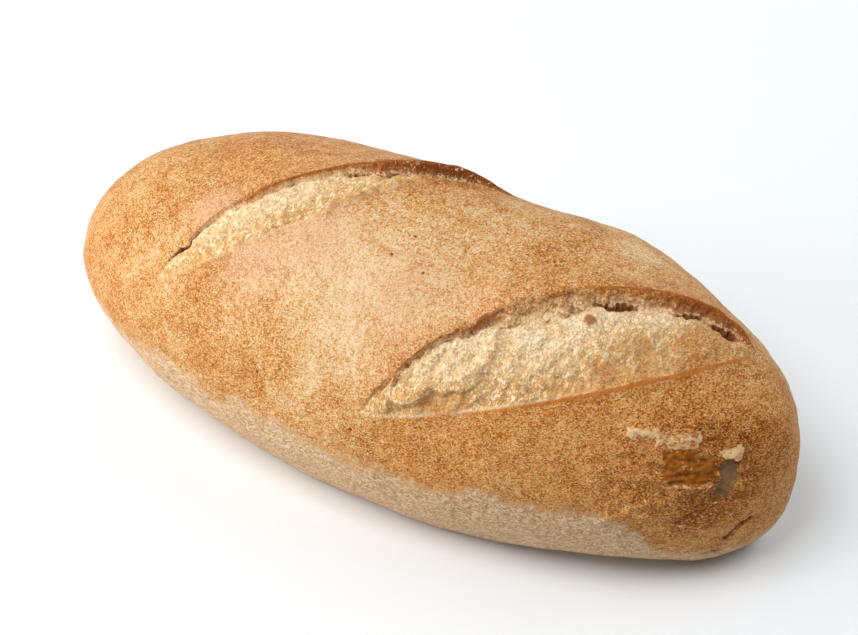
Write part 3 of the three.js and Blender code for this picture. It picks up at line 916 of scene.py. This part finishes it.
def split_faces(faces, middles, places):
    """Cuts each triangle at the edges that have a middle, into two, three or four."""
    has = middles >= 0
    count = has.sum(1)
    made = [faces[count == 0]]
    one = count == 1
    first = has[one].argmax(1)
    a, b, c = turned(faces[one], first).T
    ab = turned(middles[one], first)[:, 0]
    made += [np.stack([a, ab, c], 1), np.stack([ab, b, c], 1)]
    two = count == 2
    first = (has[two].argmin(1) + 1) % 3
    a, b, c = turned(faces[two], first).T
    ab, bc, _ = turned(middles[two], first).T
    short = np.linalg.norm(places[a] - places[bc], axis=-1) < np.linalg.norm(places[ab] - places[c], axis=-1)
    made.append(np.stack([ab, b, bc], 1))
    made.append(np.stack([a, ab, np.where(short, bc, c)], 1))
    made.append(np.stack([np.where(short, a, ab), bc, c], 1))
    three = count == 3
    a, b, c = faces[three].T
    ab, bc, ca = middles[three].T
    made += [np.stack(corners, 1) for corners in ((a, ab, ca), (ab, b, bc), (ca, bc, c), (ab, bc, ca))]
    return np.concatenate(made)


def refine(settings, directions, faces):
    """Splits every edge that is longer than asked for at its middle, and repeats that on the result."""
    body = settings.body
    for _ in range(settings.detail.rounds):
        places = body_points(body, *along_and_turn(directions))
        edges = np.sort(faces[:, [[0, 1], [1, 2], [2, 0]]].reshape(-1, 2), axis=1)
        edges, number = np.unique(edges, axis=0, return_inverse=True)
        middle = directions[edges].sum(1)
        middle /= np.linalg.norm(middle, axis=-1, keepdims=True)
        length = np.linalg.norm(places[edges[:, 0]] - places[edges[:, 1]], axis=-1)
        long = length > triangle_size(settings, body_points(body, *along_and_turn(middle)))
        if not long.any():
            break
        names = np.full(len(edges), -1)
        names[long] = len(directions) + np.arange(long.sum())
        directions = np.concatenate([directions, middle[long]])
        places = body_points(body, *along_and_turn(directions))
        faces = split_faces(faces, names[number.reshape(-1, 3)], places)
    return directions, faces


def soft_relief(body, points):
    """Rise of the crust's lumps, swells, peeled patch, pits and blisters, and marks for the last three."""
    peel_rise, marks = peel_relief(body, points)
    pit = bell(spot_distance(on_crust(PITS, points), points), PIT.reach)
    rim = bell(spot_distance(BLISTERS, points) - BLISTER.reach, BLISTER.rim)
    lumps = body.crust_rise * wave(points, body.crust_wave) + waves(points, CRUST_LUMPS)
    lumps += peel_rise - PIT.depth * pit + BLISTER.rise * rim + swell_relief(body, points)
    marks["flake"] = np.maximum(marks["flake"], BLISTER.flake * rim)
    # the pits are painted dark as the shade in them
    marks["dark"] = np.maximum(marks["dark"], pit)
    return lumps * smoothstep(points[:, 2], 0.0, body.base_softness), marks


def bake_marks(points, scorch):
    """Marks for the browning, the pinkish crust and the pale band, which is in millimetres below its edge."""
    band = np.interp(points[:, 0], *zip(*BAND)) + waves(points, BAND_WAVES)
    bake = EVEN_BAKE + SCORCH.bake * scorch + waves(points, BAKE_WAVES)
    return {
        "bake": bake + sum(patches_at(PATCHES, points)),
        "blush": np.max(patches_at(BLUSHES, points), axis=0),
        "band": (band - points[:, 2]) / MM,
    }


def crust_points(settings, directions):
    """Points of the finished crust for directions from the loaf's middle, and marks for its colours."""
    body, cuts = settings.body, settings.cuts
    along, turn = along_and_turn(directions)
    smooth = body_points(body, along, turn)
    upper = smooth[:, 2] > body.belly_height
    reliefs = [cut_relief(cuts, cut, smooth) for cut in CUTS]
    shift = sum(relief.shift for relief in reliefs) * upper[:, None]
    lobe, lump, tear = crumb_lobe(smooth)
    cut_rise = (sum(relief.rise for relief in reliefs) + lobe) * upper
    marks = {"lump": lump * upper, "tear": tear * upper}
    for name in reliefs[0].marks:
        value = np.max([relief.marks[name] for relief in reliefs], axis=0)
        marks[name] = np.where(upper, value, -FAR_MM if name in DEPTH_MARKS else 0.0)
    moved = np.linalg.norm(shift, axis=-1) > TINY
    along = np.where(moved, np.clip(2 * (smooth[:, 0] + shift[:, 0]) / body.length, -1, 1), along)
    turn = np.where(moved, turn_over(body, along, smooth[:, 1] + shift[:, 1]), turn)
    points = body_points(body, along, turn)
    soft_rise, soft_marks = soft_relief(body, points)
    marks |= bake_marks(points, soft_marks.pop("scorch")) | soft_marks
    # the toast mark also carries the painted shade just below the far lobe
    marks["toast"] += sum(patches_at(CRUMB_PATCHES, points))
    return points + body_normals(body, along, turn) * (cut_rise + soft_rise)[:, None], marks


def build_mesh(name, points, faces, marks):
    mesh = bpy.data.meshes.new(name)
    mesh.vertices.add(len(points))
    mesh.vertices.foreach_set("co", points.astype(np.float32).ravel())
    mesh.loops.add(3 * len(faces))
    mesh.loops.foreach_set("vertex_index", faces.astype(np.int32).ravel())
    mesh.polygons.add(len(faces))
    mesh.polygons.foreach_set("loop_start", np.arange(0, 3 * len(faces), 3, dtype=np.int32))
    mesh.update(calc_edges=True)
    for mark, value in marks.items():
        mesh.attributes.new(mark, "FLOAT", "POINT").data.foreach_set("value", value.astype(np.float32))
    mesh.validate()
    mesh.shade_smooth()
    return mesh


class Bench:
    """Lays out a material's nodes and joins them."""

    def __init__(self, name):
        self.material = bpy.data.materials.new(name)
        self.material.use_nodes = True
        self.tree = self.material.node_tree
        self.shader = self.tree.nodes["Principled BSDF"]
        self.place = self.node("TexCoord").outputs["Object"]

    def feed(self, socket, value):
        if isinstance(value, bpy.types.NodeSocket):
            self.tree.links.new(value, socket)
        else:
            socket.default_value = (*value, 1.0) if socket.type == "RGBA" else value

    def node(self, kind, inputs=None, **settings):
        made = self.tree.nodes.new("ShaderNode" + kind)
        for name, value in settings.items():
            setattr(made, name, value)
        for name, value in (inputs or {}).items():
            self.feed(made.inputs[name], value)
        return made

    def mark(self, name):
        """A number that each corner of the mesh carries."""
        return self.node("Attribute", attribute_name=name).outputs["Fac"]

    def stretched(self, stretch, place=None):
        """The loaf's own places, or others, stretched along each axis."""
        place = self.place if place is None else place
        return self.node("Mapping", {"Vector": place, "Scale": stretch}).outputs["Vector"]

    def noise(self, size, detail=2.0, stretch=EVEN_STRETCH, swirl=0.0):
        """Noise from 0 to 1 with grains of about this size."""
        inputs = {"Vector": self.stretched(stretch), "Scale": 1 / size, "Detail": detail, "Distortion": swirl}
        return self.node("TexNoise", inputs).outputs["Fac"]

    def cells(self, size, stretch=EVEN_STRETCH):
        """Cells of about this size, that each have a random colour and a distance from their middle."""
        return self.node("TexVoronoi", {"Vector": self.stretched(stretch), "Scale": 1 / size}).outputs

    def creases(self, size, stretch=EVEN_STRETCH):
        """1 along the fine, uneven creases between grains of about this size, 0 on the grains."""
        swirl = self.node("TexNoise", {"Vector": self.place, "Scale": 1 / (2 * size)}).outputs["Color"]
        inputs = {0: swirl, 1: (size, size, size), 2: self.place}
        swirled = self.node("VectorMath", inputs, operation="MULTIPLY_ADD").outputs["Vector"]
        inputs = {"Vector": self.stretched(stretch, swirled), "Scale": 1 / size}
        edges = self.node("TexVoronoi", inputs, feature="DISTANCE_TO_EDGE").outputs["Distance"]
        return self.ramp(edges, 0.22, 0.0)

    def dots(self, size, gaps, stretch=EVEN_STRETCH):
        """1 on small dots that lie about this far apart, 0 between them; more gaps leave out more dots."""
        cells = self.cells(size, stretch)
        dot = self.ramp(cells["Distance"], 0.34, 0.14)
        return self.product(dot, self.ramp(cells["Color"], gaps, gaps + 0.15))

    def spread(self, value, amount):
        """How far a value is from a half, times an amount."""
        return self.node("Math", {0: value, 1: amount, 2: -amount / 2}, operation="MULTIPLY_ADD").outputs[0]

    def sum(self, first, *others):
        for value in others:
            first = self.node("Math", {0: first, 1: value}, operation="ADD").outputs[0]
        return first

    def product(self, first, second):
        return self.node("Math", {0: first, 1: second}, operation="MULTIPLY").outputs[0]

    def ramp(self, value, low, high, to_low=0.0, to_high=1.0):
        """Softly from one value to another while the given one goes from low to high."""
        inputs = {"Value": value, "From Min": low, "From Max": high, "To Min": to_low, "To Max": to_high}
        return self.node("MapRange", inputs, interpolation_type="SMOOTHSTEP").outputs["Result"]

    def ramp_line(self, value, low, high):
        """Evenly from 0 to 1 while the given value goes from low to high."""
        return self.node("MapRange", {"Value": value, "From Min": low, "From Max": high}).outputs["Result"]

    def area(self, mark, edges, low, high, most=1.0):
        """Where a mark is above about low to high, with edges that some noises make ragged by amounts."""
        ragged = [self.spread(value, amount) for value, amount in edges]
        return self.ramp(self.sum(self.mark(mark), *ragged), low, high, 0.0, most)

    def blend(self, share, first, second):
        """A colour or a number between two."""
        kind = "RGBA" if not isinstance(second, float) else "FLOAT"
        mix = self.node("Mix", data_type=kind)
        places = (0, 6, 7, 2) if kind == "RGBA" else (0, 2, 3, 0)
        for place, value in zip(places, (share, first, second)):
            self.feed(mix.inputs[place], value)
        return mix.outputs[places[3]]

    def layers(self, colour, *covers):
        """A colour with others laid over it, each by its share."""
        for share, cover in covers:
            colour = self.blend(share, colour, cover)
        return colour

    def colours(self, value, stops):
        """A colour from a row of places and colours."""
        made = self.node("ValToRGB", {"Fac": value})
        row = made.color_ramp.elements
        while len(row) < len(stops):
            row.new(0.5)
        for element, (place, colour) in zip(row, stops):
            element.position = place
            element.color = (*colour, 1.0)
        return made.outputs["Color"]


def crust_colour(bench, colours, noises):
    """Speckled crust, from floury to burnt by its browning, with painted shade in its creases where it is
    pale and painted glints along them where it is well baked, and the creases between its grains.
    """
    browning = bench.mark("bake")
    crease = bench.product(bench.creases(**CREASE), bench.ramp(noises.speck, 0.35, 0.6, 0.3, 1.0))
    lines = bench.sum(bench.product(bench.mark("crest"), 0.3), bench.product(bench.mark("edge"), 0.1))
    calm = bench.product(bench.ramp(browning, 0.2, 0.8, 0.78, 1.15), bench.ramp(lines, 0.0, 0.4, 1.0, 0.4))
    grains = bench.product(bench.sum(bench.spread(noises.grain, 1.35), bench.spread(noises.speck, 0.3)), calm)
    blotches = bench.spread(bench.ramp(noises.patch, 0.4, 0.6), 0.18)
    uneven = bench.product(bench.spread(noises.mottle, 0.7), bench.ramp(browning, 0.4, 0.9, 0.4, 1.5))
    # painted shade in the creases on pale crust, painted glints along them on well baked crust
    crease_shade_and_glint = bench.product(crease, bench.ramp(browning, 0.35, 0.7, 0.5, -0.35))
    bake = bench.ramp_line(bench.sum(browning, grains, blotches, uneven, crease_shade_and_glint, lines), -0.5, 1.5)
    pale = ((0.0, colours.floury_crust), (0.25, colours.pale_crust), (0.375, colours.golden_crust))
    tan = ((0.0, colours.fleck_and_glint), (0.375, colours.tan_crust))
    brown = ((0.5, colours.amber_crust), (0.625, colours.baked_crust), (0.75, colours.dark_crust))
    burnt = ((1.0, colours.burnt_crust),)
    lightly_baked = bench.colours(bake, pale + brown + burnt)
    well_baked = bench.colours(bake, tan + brown + burnt)
    crust = bench.blend(bench.ramp(browning, 0.4, 0.65), lightly_baked, well_baked)
    blush = bench.product(bench.mark("blush"), bench.ramp(noises.grain, 0.3, 0.9, 1.1, 0.5))
    crust = bench.blend(blush, crust, colours.blush)
    fleck_and_glint = bench.blend(bench.ramp(browning, 0.3, 0.8), colours.floury_crust, colours.fleck_and_glint)
    # pale dots: flour flecks and painted glints
    dots = bench.product(bench.dots(**FLECK_AND_GLINT_DOT), bench.ramp(lines, 0.05, 0.3, 0.7, 0.1))
    return bench.blend(dots, crust, fleck_and_glint), crease


def band_colour(bench, colours, noises, colour):
    """The pale, floury band along the bottom, over a colour."""
    flour = bench.sum(noises.grain, bench.spread(noises.speck, 1.2))
    floury = bench.colours(flour, ((0.2, colours.band_dark), (0.5, colours.band), (0.8, colours.band_pale)))
    in_band = bench.area("band", ((noises.patch, 12.0), (noises.mottle, 6.0)), -1.0, 3.0, 0.8)
    return bench.blend(in_band, colour, floury)


def peel_colour(bench, colours, noises, colour):
    """The glaze, paler on its wrinkles' ridges as a painted highlight, and the flakes of the peeled patch,
    over a colour, and the share of the glaze.
    """
    glaze = bench.area("glaze", ((noises.speck, 1.0),), 0.3, 0.7, 0.92)
    # painted highlight on the wrinkles' ridges
    ridge_highlight = bench.area("wrinkle", ((noises.speck, 0.8),), -0.5, 0.6)
    colour = bench.blend(glaze, colour, bench.blend(ridge_highlight, colours.glaze, colours.glaze_highlight))
    flake = bench.area("flake", ((noises.speck, 1.4),), 0.4, 0.85, 0.85)
    return bench.blend(flake, colour, colours.flake), glaze


def crumb_colour(bench, colours, noises):
    """Torn crumb, with painted highlight on its strands and along the near edge's ridge and painted shade in
    its hollows, pores and along the tear, the share of it that shows and the hollows between its strands.
    """
    toast, inward = bench.mark("toast"), bench.mark("inward")
    near = bench.ramp(inward, 9.0, 0.5, 0.0, 0.7)
    crusted = bench.sum(toast, bench.spread(noises.patch, 0.8), bench.product(near, 0.6))
    shown = bench.area("crumb", ((noises.ragged, 0.8),), -0.2, 0.5)
    shown = bench.product(shown, bench.ramp(crusted, 0.6, 1.0, 1.0, 0.15))
    toasted = bench.ramp(bench.sum(near, bench.spread(noises.patch, 1.6), toast), 0.0, 0.9)
    deep = bench.product(bench.ramp(inward, 8.0, 20.0, 0.0, 0.7), bench.ramp(noises.patch, 0.35, 0.55))
    strand = bench.sum(noises.fibre, bench.spread(noises.grain, 0.25))
    hollow = bench.product(bench.creases(**HOLLOW), bench.ramp(noises.fibre, 0.62, 0.42))
    pores = bench.sum(noises.pore, bench.spread(noises.grain, 0.15))
    crumb = bench.layers(
        colours.crumb,
        (toasted, colours.toasted_crumb),
        (bench.product(deep, bench.ramp(toast, 0.1, 0.6, 1.0, 0.2)), colours.pale_crumb_and_highlight),
        # strands painted paler as highlight on the ridges of their bump
        (bench.ramp(strand, 0.48, 0.66, 0.0, 0.9), colours.pale_crumb_and_highlight),
        # hollows and pores painted dark as the shade in them
        (bench.product(hollow, 0.55), colours.crumb_shade),
        (bench.ramp(pores, 0.40, 0.26, 0.0, 0.75), colours.crumb_shade),
        # painted highlight along the ridge of the near edge
        (bench.area("rim", (), 0.2, 0.7, 0.3), colours.pale_crumb_and_highlight),
        # the tear painted dark as the shadow under the lobe's edge
        (bench.area("tear", ((noises.ragged, 1.2),), 0.5, 0.9, 0.7), colours.crumb_shade),
    )
    return crumb, shown, hollow


def torn_colour(bench, colours, noises, colour):
    """The torn faces with their browned crests, pale scraps and fringe, the lump and the cracks painted dark
    as the shade in them, over a colour, and the share of the crests."""
    face = bench.blend(bench.ramp(noises.shred, 0.42, 0.62), colours.torn_face, colours.torn_pale)
    # pores of the torn face painted darker as the shade in them
    face = bench.blend(bench.ramp(noises.pore, 0.38, 0.26, 0.0, 0.5), face, colours.baked_crust)
    crest = bench.area("crest", ((noises.shred, 1.0), (noises.grain, 0.6)), 0.25, 0.9, 0.85)
    burnt = bench.area("crest", ((noises.shred, 2.0), (noises.grain, 0.6)), 0.9, 1.8, 0.75)
    scraps = bench.product(bench.area("crest", (), 0.9, 1.3), bench.ramp(noises.shred, 0.4, 0.3, 0.0, 0.8))
    colour = bench.layers(
        colour,
        (bench.area("torn", ((noises.ragged, 1.2),), -0.2, 0.4), face),
        (crest, bench.blend(burnt, colours.crest, colours.burnt_crust)),
        (scraps, colours.torn_pale),
        (bench.area("fringe", ((noises.shred, 2.4),), 0.5, 1.0, 0.85), colours.torn_pale),
        (bench.area("lump", ((noises.shred, 0.6),), 0.3, 0.7, 0.85), colours.crest),
        # the cracks painted dark as the shade in them
        (bench.area("crack", ((noises.ragged, 1.0),), 0.4, 0.9, 0.9), colours.crack),
    )
    return colour, crest


def bread_bump(bench, noises, crease, crest, hollow, in_crumb):
    """Fine bumps of the crust and of the crumb."""
    crust = bench.sum(
        bench.spread(noises.speck, 0.35 * MM),
        bench.spread(noises.mottle, 0.8 * MM),
        bench.product(crease, -0.05 * MM),
        bench.product(crest, bench.spread(noises.shred, 0.9 * MM)),
    )
    crumb = bench.sum(
        bench.spread(noises.fibre, 0.5 * MM),
        bench.spread(noises.pore, 0.3 * MM),
        bench.product(hollow, -0.12 * MM),
    )
    height = bench.node("Mix", {0: in_crumb, 2: crust, 3: crumb}, data_type="FLOAT").outputs[0]
    return bench.node("Bump", {"Height": height, "Distance": 1.0, "Strength": 1.0}).outputs["Normal"]


def bread_material(colours):
    """Crust with the bottom band, the peeled patch, the crumb and the torn faces over it."""
    bench = Bench("bread")
    noises = SimpleNamespace(**{name: bench.noise(**kind) for name, kind in NOISES.items()})
    noises.grain = bench.cells(**GRAIN)["Color"]
    colour, crease = crust_colour(bench, colours, noises)
    colour = band_colour(bench, colours, noises, colour)
    colour, glaze = peel_colour(bench, colours, noises, colour)
    crumb, in_crumb, hollow = crumb_colour(bench, colours, noises)
    edge = bench.area("edge", ((noises.ragged, 0.5), (noises.grain, 0.5)), 0.15, 0.85, 0.92)
    colour = bench.layers(colour, (in_crumb, crumb), (edge, colours.edge))
    colour, crest = torn_colour(bench, colours, noises, colour)
    colour = bench.layers(
        colour,
        (bench.mark("hole"), bench.blend(noises.mottle, colours.hole, colours.hole_pale)),
        # painted shade in the crevices and pits, under the flakes and under the hole's upper edge
        (bench.area("dark", (), 0.25, 0.75, 0.85), colours.crack),
    )
    rough = bench.blend(glaze, bench.ramp(noises.grain, 0.3, 0.7, 0.75, 0.55), GLAZE_ROUGHNESS)
    looks = {
        "Base Color": colour,
        "Roughness": bench.blend(in_crumb, rough, CRUMB_ROUGHNESS),
        "Specular IOR Level": CRUST_SHINE,
        "Normal": bread_bump(bench, noises, crease, crest, hollow, in_crumb),
    }
    for name, value in looks.items():
        bench.feed(bench.shader.inputs[name], value)
    return bench.material


def white_material(colour):
    """Plain white of the table."""
    white = bpy.data.materials.new("table_white")
    white.use_nodes = True
    shader = white.node_tree.nodes["Principled BSDF"]
    shader.inputs["Base Color"].default_value = (*colour, 1)
    shader.inputs["Roughness"].default_value = TABLE_ROUGHNESS
    return white


def add_table(scene, stage):
    mesh = bpy.data.meshes.new("table")
    corners = [(x * TABLE_HALF, y * TABLE_HALF, 0) for x, y in ((-1, -1), (1, -1), (1, 1), (-1, 1))]
    mesh.from_pydata(corners, [], [(0, 1, 2, 3)])
    table = bpy.data.objects.new("table", mesh)
    scene.collection.objects.link(table)
    table.data.materials.append(white_material(stage.floor_colour))


def add_camera(scene, far):
    back = -far * math.cos(VIEW_ELEVATION) + Vector((0, 0, math.sin(VIEW_ELEVATION)))
    camera = bpy.data.objects.new("camera", bpy.data.cameras.new("camera"))
    camera.data.sensor_width = VIEW_SENSOR
    camera.data.lens = VIEW_LENS
    camera.matrix_world = looking_at(VIEW_AIM, VIEW_AIM + back * VIEW_DISTANCE)
    scene.collection.objects.link(camera)
    scene.camera = camera


def add_softboxes(scene, stage, far):
    right = Vector((math.cos(VIEW_AZIMUTH), math.sin(VIEW_AZIMUTH), 0))
    for box in SOFTBOXES:
        light = bpy.data.lights.new(box.name, "AREA")
        light.size = LIGHT_SIZE
        light.color = box.tint
        light.energy = box.power * stage.light
        turn, rise = math.radians(box.turn), math.radians(box.rise)
        flat = right * math.sin(turn) - far * math.cos(turn)
        place = flat * math.cos(rise) + Vector((0, 0, math.sin(rise)))
        softbox = bpy.data.objects.new(box.name, light)
        softbox.matrix_world = looking_at(LIGHT_AIM, LIGHT_AIM + place * LIGHT_DISTANCE)
        softbox.visible_camera = False
        scene.collection.objects.link(softbox)


def add_sky(scene, stage):
    world = bpy.data.worlds.new("soft_sky")
    world.use_nodes = True
    sky = world.node_tree.nodes["Background"]
    sky.inputs["Color"].default_value = (1, 1, 1, 1)
    sky.inputs["Strength"].default_value = stage.sky_strength
    scene.world = world


class MESH_OT_whole_wheat_loaf(bpy.types.Operator):
    """Bake the loaf: crust, torn cuts and peeled patch as one closed mesh"""

    bl_idname = "mesh.whole_wheat_loaf"
    bl_label = "Bake Loaf"

    def execute(self, context):
        settings = context.scene.loaf
        directions, faces = refine(settings, *unit_ball(settings.detail.start_detail))
        points, marks = crust_points(settings, directions)
        low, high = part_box("loaf")
        middle = (np.array(low) + np.array(high))[:2] / 2
        points[:, :2] += middle - (points.min(0) + points.max(0))[:2] / 2
        loaf = bpy.data.objects.new("whole_wheat_loaf", build_mesh("whole_wheat_loaf", points, faces, marks))
        context.scene.collection.objects.link(loaf)
        loaf.data.materials.append(bread_material(settings.colours))
        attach(loaf, "root")
        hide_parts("loaf")
        return {"FINISHED"}


class SCENE_OT_loaf_stage(bpy.types.Operator):
    """Set the pale table, the soft light and the camera"""

    bl_idname = "scene.loaf_stage"
    bl_label = "Set Table"

    def execute(self, context):
        scene, stage = context.scene, context.scene.loaf.stage
        far = Vector((-math.sin(VIEW_AZIMUTH), math.cos(VIEW_AZIMUTH), 0))
        add_table(scene, stage)
        add_camera(scene, far)
        add_softboxes(scene, stage, far)
        add_sky(scene, stage)
        scene.view_settings.view_transform = "Standard"
        return {"FINISHED"}


class VIEW3D_PT_whole_wheat_loaf(bpy.types.Panel):
    """Lists the loaf's pieces and its stage"""

    bl_label = "Whole Wheat Loaf"
    bl_idname = "VIEW3D_PT_whole_wheat_loaf"
    bl_space_type = "VIEW_3D"
    bl_region_type = "UI"
    bl_category = "Loaf"

    def draw(self, context):
        for step in STEPS:
            self.layout.operator(step.bl_idname)


STEPS = (MESH_OT_whole_wheat_loaf, SCENE_OT_loaf_stage)
GROUPS = (LoafBody, LoafCuts, LoafDetail, LoafColours, LoafStage, LoafSettings)
CLASSES = (*GROUPS, *STEPS, VIEW3D_PT_whole_wheat_loaf)


def register():
    for item in CLASSES:
        bpy.utils.register_class(item)
    bpy.types.Scene.loaf = PointerProperty(type=LoafSettings)


def unregister():
    del bpy.types.Scene.loaf
    for item in reversed(CLASSES):
        bpy.utils.unregister_class(item)


def main():
    register()
    bpy.ops.mesh.whole_wheat_loaf()
    bpy.ops.scene.loaf_stage()


if __name__ == "__main__":
    main()
